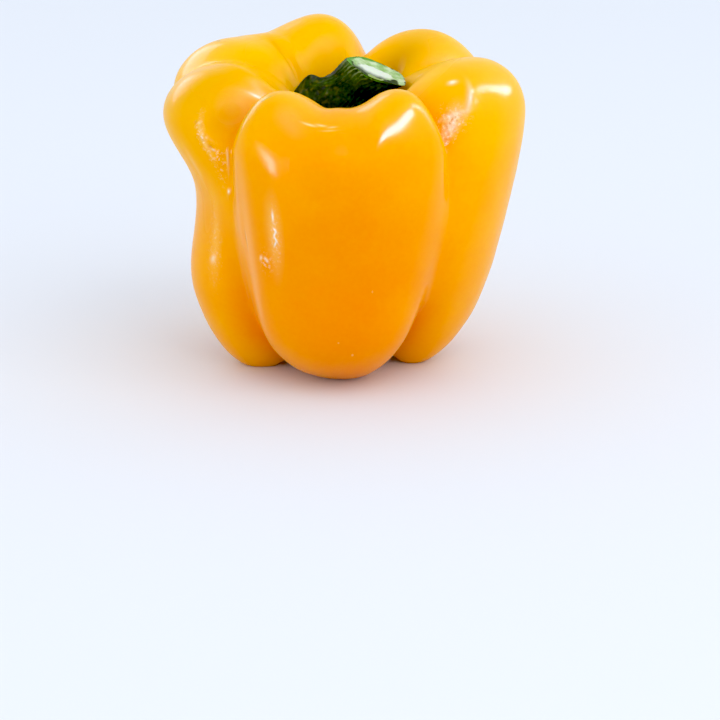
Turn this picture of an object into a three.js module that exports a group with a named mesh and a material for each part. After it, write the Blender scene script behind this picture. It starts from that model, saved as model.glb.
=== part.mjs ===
import * as THREE from 'three';

// A large blocky bell pepper, standing on the toes of its blossom end with its stem upwards.
// Millimetres and degrees. +Z is up, the lobes stand round the Z axis, and the floor is z = 0.
// The front is -Y. Angles run from +X towards +Y, so the front face looks along -90.

// Sizes of the whole fruit.
const DIMPLE_HEIGHT = 14;
const HOLLOW_FLOOR = 58;
const BELLY_HEIGHT = 27;
const WAIST_HEIGHT = 45;
const SHOULDER_HEIGHT = 59;

// Each crease and each lobe crest is one upright section of the skin, given by these sizes: toe is the
// lowest ring, low the ring above it, then belly and waist; shoulder and upper are the top of the
// side, rim the top of the lobe and mouth the wall of the stem hollow. Radius is from the Z axis and
// height from the floor. The lower part of the fruit has five lobes. Its upper part has seven,
// because the front and the back lobe each have a saddle on top.
const LOWER_SIZES = ['toeRadius', 'toeHeight', 'lowRadius', 'bellyRadius', 'waistRadius'];
const UPPER_SIZES = ['shoulderRadius', 'upperRadius', 'rimRadius', 'rimHeight', 'mouthRadius'];

// How rounded a crease is across its bottom is given for its toe, its side and its top.
const LOWER_CREASES = [
  { name: 'front left', at: -137, toeSoft: 0.12, sideSoft: 0.20, sizes: [13, 7, 29.8, 34, 37] },
  { name: 'front right', at: -50.5, toeSoft: 0.12, sideSoft: 0.20, sizes: [7.5, 11.8, 27, 34.5, 38] },
  { name: 'right back', at: 22, toeSoft: 0.16, sideSoft: 0.20, sizes: [11, 9, 28.8, 32, 36.5] },
  { name: 'back', at: 77, toeSoft: 0.16, sideSoft: 0.20, sizes: [11, 9, 28.8, 32, 35] },
  { name: 'left back', at: 166, toeSoft: 0.16, sideSoft: 0.20, sizes: [14, 8, 31.5, 35, 36] },
];
const UPPER_CREASES = [
  { name: 'front left', at: -137, soft: 0.12, sizes: [36, 36.5, 25, 66, 12] },
  { name: 'front saddle', at: -95, soft: 0.40, sizes: [42, 40.2, 29, 68.7, 15] },
  { name: 'front right', at: -48, soft: 0.12, sizes: [36, 35.5, 24, 65, 12] },
  { name: 'right back', at: 22, soft: 0.16, sizes: [40, 40.5, 28, 72, 12] },
  { name: 'back', at: 77, soft: 0.16, sizes: [34, 34.5, 24, 72, 12] },
  { name: 'back fold', at: 128, soft: 0.45, sizes: [44, 44.5, 31, 77.5, 16] },
  { name: 'left back', at: 166, soft: 0.20, sizes: [44.3, 44.8, 32, 73.5, 15] },
];

// One lobe follows each crease above. Its full values say how squarely it bulges between the two
// creases: a low one is full and square, 1 is round. A flat value above 1 widens its crest, and the
// crest value says where across the lobe it stands.
const LOWER_LOBES = [
  { name: 'front', toeFull: 0.33, sideFull: 0.31, flat: 1.33, sizes: [13, 0.8, 38.2, 38.6, 41.4] },
  { name: 'right', toeFull: 0.80, sideFull: 0.62, flat: 1, sizes: [16, 0.5, 32.8, 38.2, 41.6] },
  { name: 'back right', toeFull: 0.85, sideFull: 0.65, flat: 1, sizes: [17, 0.3, 31.5, 35, 39.5] },
  { name: 'back', toeFull: 0.50, sideFull: 0.42, flat: 1.3, sizes: [16.5, 0.3, 33, 36.4, 40] },
  { name: 'left', toeFull: 0.90, sideFull: 0.65, flat: 1, sizes: [21, -0.3, 36.9, 41, 34] },
];
const UPPER_LOBES = [
  { name: 'front, left half', full: 0.50, crest: 0.36, sizes: [42.6, 41.2, 32, 73.1, 17] },
  { name: 'front, right half', full: 0.46, crest: 0.66, sizes: [42.6, 41.2, 32.2, 73.6, 17] },
  { name: 'right', full: 0.55, crest: 0.5, sizes: [44.8, 45.3, 35.3, 77, 18] },
  { name: 'back right', full: 0.50, crest: 0.5, sizes: [45, 45.5, 33.5, 78, 18] },
  { name: 'back left', full: 0.50, crest: 0.5, sizes: [43, 43.5, 31, 81, 18] },
  { name: 'far left', full: 0.80, crest: 0.5, sizes: [49, 49.7, 34.3, 77.1, 17] },
  { name: 'left', full: 0.55, crest: 0.5, sizes: [45, 45.5, 34, 75, 18] },
];

// Broad swellings and hollows of the skin. Station is how far up the section the middle is, counted
// in its points, and it may slant with the angle. Spread is in degrees and reach in stations. Out is
// how far the skin moves.
const SWELLINGS = [
  { name: 'front right facet', at: -66, station: 9.2, slant: -0.04, spread: 10, reach: 0.9, out: -1.5 },
  { name: 'front middle swell', at: -80, station: 8.9, slant: 0.17, spread: 6.3, reach: 1.4, out: 1.2 },
  { name: 'front left facet', at: -115.5, station: 9.4, slant: 0, spread: 7.1, reach: 0.7, out: -0.56 },
  { name: 'front left swell', at: -100.8, station: 9.0, slant: 0, spread: 8.1, reach: 0.77, out: 0.49 },
  { name: 'front left cheek', at: -113, station: 7.7, slant: 0, spread: 7, reach: 0.55, out: 0.7 },
  { name: 'right facet', at: -20, station: 9.5, slant: 0.03, spread: 8, reach: 1.0, out: -1.2 },
  { name: 'right ridge', at: -34.6, station: 9.5, slant: 0.077, spread: 5.0, reach: 0.34, out: 0.9 },
  { name: 'inner fold', at: 137, station: 10.8, slant: 0.10, spread: 3.2, reach: 0.9, out: 0.9 },
];

// The green stem: a toothed calyx lies in the hollow, with a raised knuckle on its left, and a short
// ribbed stalk leans to the right and flares to a slanting cut.
const CALYX_GAP = 0.3;
const CALYX_EDGE = 1.2;
const CALYX_CROWN = 2.6;
const CALYX_REACH = 11.6;
const TOOTH_COUNT = 6;
const TOOTH_DEPTH = 0.45;
const TOOTH_TURN = 20;
const KNUCKLE = { at: 185, spread: 38 };
const KNUCKLE_TIP = { at: 184, spread: 9, height: 2.6 };
const RIB_COUNT = 5;
const RIB_HEIGHT = 0.05;
const RIB_TURN = 40;

// Rings of the stalk from its collar to the cut: where the ring's middle is (across is +X), how far
// the ring leans to the right, its radius, and the same ring where it runs over the knuckle.
const STALK = [
  { across: -0.4, height: 63.3, lean: 0, radius: 9.0, knuckleReach: 15.0, knuckleHeight: 65.2 },
  { across: -0.2, height: 65.3, lean: 4, radius: 8.0, knuckleReach: 12.6, knuckleHeight: 68.0 },
  { across: 0.7, height: 66.9, lean: 10, radius: 7.0, knuckleReach: 9.0, knuckleHeight: 70.8, hasTip: true },
  { across: 2.0, height: 68.4, lean: 16, radius: 6.6, knuckleReach: 6.0, knuckleHeight: 71.2 },
  { across: 3.6, height: 70.1, lean: 20, radius: 6.9 },
  { across: 5.3, height: 71.6, lean: 22, radius: 7.2 },
  { across: 7.1, height: 73.0, lean: 22, radius: 7.5 },
];
const CUT = { across: 8.0, height: 73.4, lean: 21.5, radius: 7.7, pithRadius: 4.0, pithDepth: 0.5 };
const STALK_DEPTH = 0.94;

// How much of its lean to the right the stalk also leans towards the front.
const FORWARD_LEAN = 0.25;

// The front of the cut falls away: how far forward that starts, how steeply it falls, and where it
// fades towards the right end, all as shares of the cut's radius.
const BEVEL = { start: 0.12, steepness: 0.6, fadeEnd: 0.75, fadeLength: 0.3 };

// How finely the skins are divided.
const FRUIT_COLUMNS_PER_LOBE = 12;
const CREASE_CROWDING = 0.55;
const FRUIT_ROWS = 42;
const STEM_COLUMNS_PER_LOBE = 6;
const CALYX_UNDER_ROWS = 4;
const STEM_ROWS = 26;

const RADIANS = Math.PI / 180;

const mix = (a, b, share) => a + (b - a) * share;
const smooth = (share) => share * share * (3 - 2 * share);
const clamped = (value) => Math.min(Math.max(value, 0), 1);
const turned = (angle) => ((angle % 360) + 360) % 360;
const between = (a, b) => turned(a - b + 180) - 180;

// How far a lobe has risen out of its creases, 0 at each crease and 1 at the crest.
function bulge(share, softness, fullness, flatness = 1) {
  const across = Math.sin(Math.PI * share);
  const start = softness ** fullness;
  const whole = (1 + softness * softness) ** (fullness / 2) - start;
  const rise = ((across * across + softness * softness) ** (fullness / 2) - start) / whole;
  return 1 - Math.max(1 - rise, 0) ** flatness;
}

// A share of the way across a lobe, shifted so that its crest stands at the given share.
function leaned(share, crest) {
  if (crest < 0.5) {
    return 1 - leaned(1 - share, 1 - crest);
  }
  return share ** (Math.log(0.5) / Math.log(crest));
}

// The lobe at an angle, the creases on either side of it, and the share of the way between them.
function spanAt(creases, lobes, angle) {
  const index = creases.findIndex((crease, i) => {
    const next = creases[(i + 1) % creases.length];
    return turned(angle - crease.at) < turned(next.at - crease.at);
  });
  const before = creases[index];
  const after = creases[(index + 1) % creases.length];
  const share = turned(angle - before.at) / turned(after.at - before.at);
  return { before, after, lobe: lobes[index], share };
}

// The sizes of the section at one angle, blended between the two creases and the lobe's crest.
function sectionAt(angle) {
  const section = {};
  const low = spanAt(LOWER_CREASES, LOWER_LOBES, angle);
  const toeSoft = mix(low.before.toeSoft, low.after.toeSoft, low.share);
  const sideSoft = mix(low.before.sideSoft, low.after.sideSoft, low.share);
  const toe = bulge(low.share, toeSoft, low.lobe.toeFull, low.lobe.flat);
  const side = bulge(low.share, sideSoft, low.lobe.sideFull, low.lobe.flat);
  LOWER_SIZES.forEach((name, k) => {
    const crease = mix(low.before.sizes[k], low.after.sizes[k], smooth(low.share));
    section[name] = mix(crease, low.lobe.sizes[k], k < 2 ? toe : side);
  });
  const high = spanAt(UPPER_CREASES, UPPER_LOBES, angle);
  const soft = mix(high.before.soft, high.after.soft, high.share);
  const top = bulge(leaned(high.share, high.lobe.crest), soft, high.lobe.full);
  UPPER_SIZES.forEach((name, k) => {
    const crease = mix(high.before.sizes[k], high.after.sizes[k], smooth(high.share));
    section[name] = mix(crease, high.lobe.sizes[k], top);
  });
  return section;
}

// The control points of a section from the middle of the underside, out over the toe, up the side,
// over the rim and down to the middle of the hollow's floor.
function controlPoints(section) {
  const { toeRadius, toeHeight, lowRadius, bellyRadius, waistRadius } = section;
  const { shoulderRadius, upperRadius, rimRadius, rimHeight, mouthRadius } = section;
  return [
    [0, DIMPLE_HEIGHT],
    [toeRadius * 0.34, DIMPLE_HEIGHT - 0.4],
    [toeRadius * 0.74, toeHeight + 3],
    [toeRadius, toeHeight - 3],
    [mix(toeRadius, lowRadius, 0.55), toeHeight * 0.8 + 1.5],
    [lowRadius, toeHeight * 0.3 + 12.5],
    [bellyRadius, BELLY_HEIGHT],
    [waistRadius, WAIST_HEIGHT],
    [shoulderRadius, SHOULDER_HEIGHT],
    [upperRadius, rimHeight - 6],
    [rimRadius, rimHeight + 3],
    [mouthRadius, rimHeight - 2.5],
    [mouthRadius * 0.78, HOLLOW_FLOOR + 5],
    [mouthRadius * 0.42, HOLLOW_FLOOR],
    [0, HOLLOW_FLOOR],
  ];
}

const LAST_STATION = 14;

// The stem's own curve starts with three points of the calyx, and its cut begins beside the rim.
const CUT_STATION = 3 + STALK.length + 0.4;

// A smooth curve near the points, at a station counted in points from the first.
function curveAt(points, station) {
  const from = Math.min(Math.floor(station), points.length - 2);
  const share = station - from;
  const weights = [
    (1 - share) ** 3 / 6,
    (3 * share ** 3 - 6 * share ** 2 + 4) / 6,
    (-3 * share ** 3 + 3 * share ** 2 + 3 * share + 1) / 6,
    share ** 3 / 6,
  ];
  const size = points[0].length;
  const result = new Array(size).fill(0);
  weights.forEach((weight, k) => {
    const point = points[from + k - 1] ?? mirrored(points, from + k - 1);
    for (let axis = 0; axis < size; axis += 1) {
      result[axis] += weight * point[axis];
    }
  });
  return result;
}

// The point past either end of a section: the same ring on the other side of the Z axis.
function mirrored(points, index) {
  const [radius, height] = index < 0 ? points[1] : points[points.length - 2];
  return [-radius, height];
}

function fruitPoint(angle, station) {
  const [ring, height] = curveAt(controlPoints(sectionAt(angle)), station);
  let radius = ring;
  for (const spot of SWELLINGS) {
    const turn = between(angle, spot.at);
    const rise = station - spot.station - spot.slant * turn;
    radius += spot.out * Math.exp(-((turn / spot.spread) ** 2) - (rise / spot.reach) ** 2);
  }
  return new THREE.Vector3(
    radius * Math.cos(angle * RADIANS),
    radius * Math.sin(angle * RADIANS),
    Math.max(height, 0),
  );
}

function fruitNormal(angle, station) {
  const low = Math.max(station - 0.02, 0.02);
  const high = Math.min(station + 0.02, LAST_STATION - 0.02);
  const alongSide = fruitPoint(angle, high).sub(fruitPoint(angle, Math.min(low, high - 0.02)));
  const around = fruitPoint(angle + 0.5, Math.min(station, LAST_STATION - 0.02));
  around.sub(fruitPoint(angle - 0.5, Math.min(station, LAST_STATION - 0.02)));
  return around.cross(alongSide).normalize();
}

function calyxPoint(angle, station, lift) {
  const point = fruitPoint(angle, station);
  const normal = station >= LAST_STATION ? new THREE.Vector3(0, 0, 1) : fruitNormal(angle, station);
  return point.addScaledVector(normal, lift);
}

function calyxEdgeStation(angle) {
  const tooth = 0.5 + 0.5 * Math.cos((angle - TOOTH_TURN) * TOOTH_COUNT * RADIANS);
  return CALYX_REACH + TOOTH_DEPTH * (1 - tooth ** 1.4);
}

function stalkPoint(ring, angle, radius, sink) {
  const lean = ring.lean * RADIANS;
  const rib = 1 + RIB_HEIGHT * Math.cos((angle - RIB_TURN) * RIB_COUNT * RADIANS);
  const across = radius * rib * Math.cos(angle * RADIANS);
  const deep = radius * rib * Math.sin(angle * RADIANS) * STALK_DEPTH;
  return [
    ring.across + across * Math.cos(lean) - sink * Math.sin(lean),
    deep,
    ring.height - across * Math.sin(lean) - sink * Math.cos(lean) + deep * Math.tan(lean * FORWARD_LEAN),
  ];
}

// The stem's upper skin at one angle, from the calyx's edge to the middle of the cut.
function stemCurve(angle) {
  const edge = calyxEdgeStation(angle);
  const points = [
    calyxPoint(angle, edge, CALYX_GAP).toArray(),
    calyxPoint(angle, edge, CALYX_GAP + CALYX_EDGE).toArray(),
    calyxPoint(angle, mix(edge, LAST_STATION, 0.2), CALYX_GAP + CALYX_CROWN).toArray(),
  ];
  const knuckle = Math.exp(-((between(angle, KNUCKLE.at) / KNUCKLE.spread) ** 2));
  const tip = Math.exp(-((between(angle, KNUCKLE_TIP.at) / KNUCKLE_TIP.spread) ** 2));
  for (const ring of STALK) {
    const point = stalkPoint(ring, angle, ring.radius, 0);
    if (ring.knuckleReach) {
      point[0] = mix(point[0], ring.knuckleReach * Math.cos(angle * RADIANS), knuckle);
      point[1] = mix(point[1], ring.knuckleReach * Math.sin(angle * RADIANS), knuckle);
      point[2] = mix(point[2], ring.knuckleHeight, knuckle);
    }
    if (ring.hasTip) {
      point[2] += tip * KNUCKLE_TIP.height;
    }
    points.push(point);
  }
  const rim = stalkPoint(CUT, angle, CUT.radius, 0);
  points.push(rim, rim);
  points.push(stalkPoint(CUT, angle, CUT.radius * 0.92, CUT.pithDepth * 0.3));
  points.push(stalkPoint(CUT, angle, CUT.pithRadius, CUT.pithDepth));
  points.push(stalkPoint(CUT, angle, 0, CUT.pithDepth));
  return points;
}

// How far the skin is cut down at a point on the bevel, along the leaning axis of the stalk.
function bevelAt([x, y, z]) {
  const lean = CUT.lean * RADIANS;
  const across = (x - CUT.across) * Math.cos(lean) - (z - CUT.height) * Math.sin(lean);
  const forward = -y / (CUT.radius * STALK_DEPTH);
  const fade = clamped((BEVEL.fadeEnd - across / CUT.radius) / BEVEL.fadeLength);
  return clamped(forward - BEVEL.start) * BEVEL.steepness * fade;
}

function stemPoint(angle, row) {
  if (row <= CALYX_UNDER_ROWS) {
    const station = mix(LAST_STATION, calyxEdgeStation(angle), row / CALYX_UNDER_ROWS);
    return calyxPoint(angle, station, CALYX_GAP);
  }
  const points = stemCurve(angle);
  const station = ((row - CALYX_UNDER_ROWS) / STEM_ROWS) * (points.length - 1);
  const end = points[points.length - 1];
  const point = curveAt([points[0], ...points, end, end], station + 1);
  const drop = bevelAt(point) * smooth(clamped((station - CUT_STATION) / 0.5));
  const lean = CUT.lean * RADIANS;
  return new THREE.Vector3(
    point[0] - drop * Math.sin(lean),
    point[1],
    point[2] - drop * Math.cos(lean),
  );
}

// A closed skin of rows and columns, with one point at its first row and one at its last.
function closedSkin(angles, lastRow, pointAt) {
  const count = angles.length;
  const positions = [];
  const faces = [];
  positions.push(...pointAt(angles[0], 0));
  for (let row = 1; row < lastRow; row += 1) {
    for (const angle of angles) {
      positions.push(...pointAt(angle, row));
    }
  }
  positions.push(...pointAt(angles[0], lastRow));
  const last = positions.length / 3 - 1;
  const at = (row, column) => 1 + (row - 1) * count + (column % count);
  for (let column = 0; column < count; column += 1) {
    faces.push(0, at(1, column + 1), at(1, column));
    faces.push(last, at(lastRow - 1, column), at(lastRow - 1, column + 1));
    for (let row = 1; row < lastRow - 1; row += 1) {
      const corners = [at(row, column), at(row, column + 1), at(row + 1, column + 1), at(row + 1, column)];
      faces.push(corners[0], corners[1], corners[2], corners[0], corners[2], corners[3]);
    }
  }
  const geometry = new THREE.BufferGeometry();
  geometry.setAttribute('position', new THREE.Float32BufferAttribute(positions, 3));
  geometry.setIndex(faces);
  geometry.computeVertexNormals();
  return geometry;
}

// Columns stand on each crease and closer together beside it, where the skin turns most.
function columnAngles(columnsPerLobe) {
  const angles = [];
  UPPER_CREASES.forEach((crease, i) => {
    const span = turned(UPPER_CREASES[(i + 1) % UPPER_CREASES.length].at - crease.at);
    for (let k = 0; k < columnsPerLobe; k += 1) {
      const even = k / columnsPerLobe;
      angles.push(crease.at + span * mix(even, smooth(even), CREASE_CROWDING));
    }
  });
  return angles;
}

function namedMesh(name, geometry, colour, roughness) {
  const material = new THREE.MeshStandardMaterial({ color: colour, roughness, metalness: 0 });
  material.name = name;
  const mesh = new THREE.Mesh(geometry, material);
  mesh.name = name;
  return mesh;
}

const fruitSkin = closedSkin(columnAngles(FRUIT_COLUMNS_PER_LOBE), FRUIT_ROWS, (angle, row) =>
  fruitPoint(angle, (row / FRUIT_ROWS) * LAST_STATION));
const stemSkin = closedSkin(
  columnAngles(STEM_COLUMNS_PER_LOBE), CALYX_UNDER_ROWS + STEM_ROWS, stemPoint,
);

// The Z axis is moved to the middle of the fruit's width and depth.
fruitSkin.computeBoundingBox();
const middle = fruitSkin.boundingBox.getCenter(new THREE.Vector3());
for (const skin of [fruitSkin, stemSkin]) {
  skin.translate(-middle.x, -middle.y, 0);
}

const pepper = new THREE.Group();
pepper.name = 'bell_pepper';
pepper.add(namedMesh('fruit', fruitSkin, '#f5a70f', 0.25));
pepper.add(namedMesh('stem', stemSkin, '#38591c', 0.6));

export default pepper;
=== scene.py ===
import math
import bmesh
import bpy
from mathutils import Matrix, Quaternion, Vector, noise


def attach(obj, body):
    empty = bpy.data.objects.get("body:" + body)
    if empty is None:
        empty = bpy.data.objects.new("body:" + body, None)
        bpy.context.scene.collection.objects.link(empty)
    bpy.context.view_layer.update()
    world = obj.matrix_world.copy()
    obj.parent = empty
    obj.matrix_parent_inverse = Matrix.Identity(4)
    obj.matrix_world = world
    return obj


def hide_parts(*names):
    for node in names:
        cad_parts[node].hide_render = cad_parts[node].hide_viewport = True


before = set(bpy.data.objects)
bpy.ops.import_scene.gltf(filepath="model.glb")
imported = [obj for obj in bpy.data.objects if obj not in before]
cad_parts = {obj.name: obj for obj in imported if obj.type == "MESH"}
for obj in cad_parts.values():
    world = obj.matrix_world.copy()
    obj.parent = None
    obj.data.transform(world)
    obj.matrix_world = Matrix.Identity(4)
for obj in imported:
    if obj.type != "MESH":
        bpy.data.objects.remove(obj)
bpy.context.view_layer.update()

mm = 0.001

# Everything below is worked out in millimetres, +Z up, with the front of the pepper at -Y.
# Angles run from +X towards +Y, so the middle of the front is near -90.

# Upright sections of the skin, the same sizes as the solid's. The lower part of the fruit has five
# lobes, and its upper part has seven, because the front and the back lobe each have a saddle on top.
lowerNames = ("toeRadius", "toeHeight", "lowRadius", "bellyRadius", "waistRadius")
upperNames = ("shoulderRadius", "upperRadius", "rimRadius", "rimHeight", "mouthRadius")
fruitShape = {
    "dimpleHeight": 14.0,
    "hollowFloor": 58.0,
    "bellyHeight": 27.0,
    "waistHeight": 45.0,
    "shoulderHeight": 59.0,
    "lowerCreases": {             # angle, softness of toe and side, then the lower sizes
        "front left": (-137, 0.12, 0.20, 13, 7, 29.8, 34, 37),
        "front right": (-50.5, 0.12, 0.20, 7.5, 11.8, 27, 34.5, 38),
        "right back": (22, 0.16, 0.20, 11, 9, 28.8, 32, 36.5),
        "back": (77, 0.16, 0.20, 11, 9, 28.8, 32, 35),
        "left back": (166, 0.16, 0.20, 14, 8, 31.5, 35, 36),
    },
    "lowerLobes": {               # fullness of toe and side, flatness, then the lower sizes
        "front": (0.33, 0.31, 1.33, 13, 0.8, 38.2, 38.6, 41.4),
        "right": (0.80, 0.62, 1.0, 16, 0.5, 32.8, 38.2, 41.6),
        "back right": (0.85, 0.65, 1.0, 17, 0.3, 31.5, 35, 39.5),
        "back": (0.50, 0.42, 1.3, 16.5, 0.3, 33.0, 36.4, 40),
        "left": (0.90, 0.65, 1.0, 21, -0.3, 36.9, 41, 34),
    },
    "upperCreases": {             # angle, softness, then the upper sizes
        "front left": (-137, 0.12, 36, 36.5, 25, 66, 12),
        "front saddle": (-95, 0.40, 42, 40.2, 29, 68.7, 15),
        "front right": (-48, 0.12, 36, 35.5, 24, 65, 12),
        "right back": (22, 0.16, 40, 40.5, 28, 72, 12),
        "back": (77, 0.16, 34, 34.5, 24, 72, 12),
        "back fold": (128, 0.45, 44, 44.5, 31, 77.5, 16),
        "left back": (166, 0.20, 44.3, 44.8, 32, 73.5, 15),
    },
    "upperLobes": {               # fullness, where the crest stands, then the upper sizes
        "front, left half": (0.50, 0.36, 42.6, 41.2, 32, 73.1, 17),
        "front, right half": (0.46, 0.66, 42.6, 41.2, 32.2, 73.6, 17),
        "right": (0.55, 0.5, 44.8, 45.3, 35.3, 77, 18),
        "back right": (0.50, 0.5, 45, 45.5, 33.5, 78, 18),
        "back left": (0.50, 0.5, 43, 43.5, 31, 81, 18),
        "far left": (0.80, 0.5, 49, 49.7, 34.3, 77.1, 17),
        "left": (0.55, 0.5, 45, 45.5, 34, 75, 18),
    },
    # Broad swellings and hollows of the skin: angle, station, slant of the station with the angle,
    # spread in degrees, reach in stations, and how far the skin moves out.
    "swellings": {
        "front right facet": (-66, 9.2, -0.04, 10, 0.9, -1.5),
        "front middle swell": (-80, 8.9, 0.17, 6.3, 1.4, 1.2),
        "front left facet": (-115.5, 9.4, 0, 7.1, 0.7, -0.56),
        "front left swell": (-100.8, 9.0, 0, 8.1, 0.77, 0.49),
        "front left cheek": (-113, 7.7, 0, 7, 0.55, 0.7),
        "right facet": (-20, 9.5, 0.03, 8, 1.0, -1.2),
        "right ridge": (-34.6, 9.50, 0.077, 5.0, 0.34, 0.9),
        "inner fold": (137, 10.8, 0.10, 3.2, 0.9, 0.9),
    },
    "columnsPerLobe": 56,
    "crowding": 0.55,             # how much closer the columns stand beside a crease
    "rows": 236,
}


def mix(a, b, share):
    return a + (b - a) * share


def smooth(share):
    return share * share * (3 - 2 * share)


def clamp(value, low=0.0, high=1.0):
    return min(max(value, low), high)


def hill(offset, spread):
    return math.exp(-(offset / spread) ** 2)


def angleBetween(a, b):
    return (a - b + 180) % 360 - 180


# How far a lobe has risen out of its creases: 0 at each crease, 1 at the crest.
def bulge(share, softness, fullness, flatness=1.0):
    across = math.sin(math.pi * share)
    start = softness ** fullness
    rise = (across * across + softness * softness) ** (fullness / 2) - start
    rise /= (1 + softness * softness) ** (fullness / 2) - start
    return 1 - (1 - rise) ** flatness


# A share of the way across a lobe, shifted so that its crest stands at the given share.
def leaned(share, crest):
    if crest < 0.5:
        return 1 - leaned(1 - share, 1 - crest)
    return share ** (math.log(0.5) / math.log(crest))


def spanAt(creases, angle):
    for index, crease in enumerate(creases):
        following = creases[(index + 1) % len(creases)]
        span = (following[0] - crease[0]) % 360
        if (angle - crease[0]) % 360 < span:
            return index, ((angle - crease[0]) % 360) / span
    return 0, 0.0


upperCreases = list(fruitShape["upperCreases"].values())
upperLobes = list(fruitShape["upperLobes"].values())
lowerCreases = list(fruitShape["lowerCreases"].values())
lowerLobes = list(fruitShape["lowerLobes"].values())


def sectionAt(angle):
    index, share = spanAt(lowerCreases, angle)
    before = lowerCreases[index]
    after = lowerCreases[(index + 1) % len(lowerCreases)]
    lobe = lowerLobes[index]
    toe = bulge(share, mix(before[1], after[1], share), lobe[0], lobe[2])
    side = bulge(share, mix(before[2], after[2], share), lobe[1], lobe[2])
    section = {}
    for k, name in enumerate(lowerNames):
        crease = mix(before[3 + k], after[3 + k], smooth(share))
        section[name] = mix(crease, lobe[3 + k], toe if k < 2 else side)
    index, share = spanAt(upperCreases, angle)
    before = upperCreases[index]
    after = upperCreases[(index + 1) % len(upperCreases)]
    lobe = upperLobes[index]
    top = bulge(leaned(share, lobe[1]), mix(before[1], after[1], share), lobe[0])
    for k, name in enumerate(upperNames):
        crease = mix(before[2 + k], after[2 + k], smooth(share))
        section[name] = mix(crease, lobe[2 + k], top)
    return section


# Control points from the middle of the underside, over the toe, the side and the rim, into the hollow.
def controlPoints(section):
    toeRadius = section["toeRadius"]
    toeHeight = section["toeHeight"]
    mouthRadius = section["mouthRadius"]
    floor = fruitShape["hollowFloor"]
    dimple = fruitShape["dimpleHeight"]
    points = [
        (0, dimple),
        (toeRadius * 0.34, dimple - 0.4),
        (toeRadius * 0.74, toeHeight + 3),
        (toeRadius, toeHeight - 3),
        (mix(toeRadius, section["lowRadius"], 0.55), toeHeight * 0.8 + 1.5),
        (section["lowRadius"], toeHeight * 0.3 + 12.5),
        (section["bellyRadius"], fruitShape["bellyHeight"]),
        (section["waistRadius"], fruitShape["waistHeight"]),
        (section["shoulderRadius"], fruitShape["shoulderHeight"]),
        (section["upperRadius"], section["rimHeight"] - 6),
        (section["rimRadius"], section["rimHeight"] + 3),
        (mouthRadius, section["rimHeight"] - 2.5),
        (mouthRadius * 0.78, floor + 5),
        (mouthRadius * 0.42, floor),
        (0, floor),
    ]
    before = (-points[1][0], points[1][1])       # the same rings on the far side of the axis
    after = (-points[-2][0], points[-2][1])
    return [before] + points + [after]


lastStation = 14
frontAngle = -90


# The weights of a smooth curve's four nearest points, at a station counted in points.
def curveWeights(station, last):
    start = min(int(station), last - 1)
    share = station - start
    return start, (
        (1 - share) ** 3 / 6,
        (3 * share ** 3 - 6 * share ** 2 + 4) / 6,
        (-3 * share ** 3 + 3 * share ** 2 + 3 * share + 1) / 6,
        share ** 3 / 6)


def curvePoint(points, start, weights):
    near = points[start:start + 4]
    return [sum(weight * value for weight, value in zip(weights, axis)) for axis in zip(*near)]


# How strongly a swelling, fold or patch is felt at a place on the skin: 1 at its middle, 0 far off.
def spotWeight(spot, angle, station):
    at, along, slant, spread, reach = spot[:5]
    turn = angleBetween(angle, at)
    rise = station - along - slant * turn
    if abs(turn) > spread * 3 or abs(rise) > reach * 3:
        return 0.0
    return math.exp(-(turn / spread) ** 2 - (rise / reach) ** 2)


def skinPoint(angle, points, station, weights):
    radius, height = curvePoint(points, *weights)
    for spot in fruitShape["swellings"].values():
        radius += spotWeight(spot, angle, station) * spot[5]
    turn = math.radians(angle)
    return Vector((radius * math.cos(turn), radius * math.sin(turn), max(height, 0)))


def fruitPoint(angle, station):
    return skinPoint(angle, controlPoints(sectionAt(angle)), station, curveWeights(station, lastStation))


def columnAngles(columnsPerLobe):
    angles = []
    for index, crease in enumerate(upperCreases):
        span = (upperCreases[(index + 1) % len(upperCreases)][0] - crease[0]) % 360
        for k in range(columnsPerLobe):
            even = k / columnsPerLobe
            angles.append(crease[0] + span * mix(even, smooth(even), fruitShape["crowding"]))
    return angles


# A ball of columns and rows, each of its vertices then put where placeAt says.
def shapedBall(angles, rows, placeAt):
    bm = bmesh.new()
    columns = len(angles)
    bmesh.ops.create_uvsphere(bm, u_segments=columns, v_segments=rows, radius=1)
    where = []
    for vert in bm.verts:
        row = round(math.acos(clamp(-vert.co.z, -1, 1)) / math.pi * rows)
        turn = math.atan2(-vert.co.x, vert.co.y) / (2 * math.pi)   # the ball's first column is at +Y
        column = round(turn * columns) % columns
        where.append((column, row))
    for vert, (column, row) in zip(bm.verts, where):
        vert.co = placeAt(column, row)
    bm.normal_update()
    return bm, where


def finishPiece(bm, name, material, node):
    for face in bm.faces:
        face.smooth = True
    for vert in bm.verts:
        vert.co *= mm
    mesh = bpy.data.meshes.new(name)
    bm.to_mesh(mesh)
    bm.free()
    mesh.materials.append(material)
    piece = bpy.data.objects.new(name, mesh)
    bpy.context.scene.collection.objects.link(piece)
    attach(piece, "root")
    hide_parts(node)


def linear(hexColour, alpha=1.0):
    channels = []
    for k in (1, 3, 5):
        value = int(hexColour[k:k + 2], 16) / 255
        channels.append(value / 12.92 if value <= 0.04045 else ((value + 0.055) / 1.055) ** 2.4)
    return (*channels, alpha)


# Adds one node, sets what is given, and links its inputs from other nodes' sockets.
def addNode(tree, kind, settings=None, inputs=None):
    node = tree.nodes.new(kind)
    for key, value in (settings or {}).items():
        setattr(node, key, value)
    for key, value in (inputs or {}).items():
        socket = node.inputs[key]
        if isinstance(value, bpy.types.NodeSocket):
            tree.links.new(value, socket)
        else:
            socket.default_value = value
    return node


def startMaterial(name):
    material = bpy.data.materials.new(name)
    material.use_nodes = True
    tree = material.node_tree
    tree.nodes.clear()
    return material, tree


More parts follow.
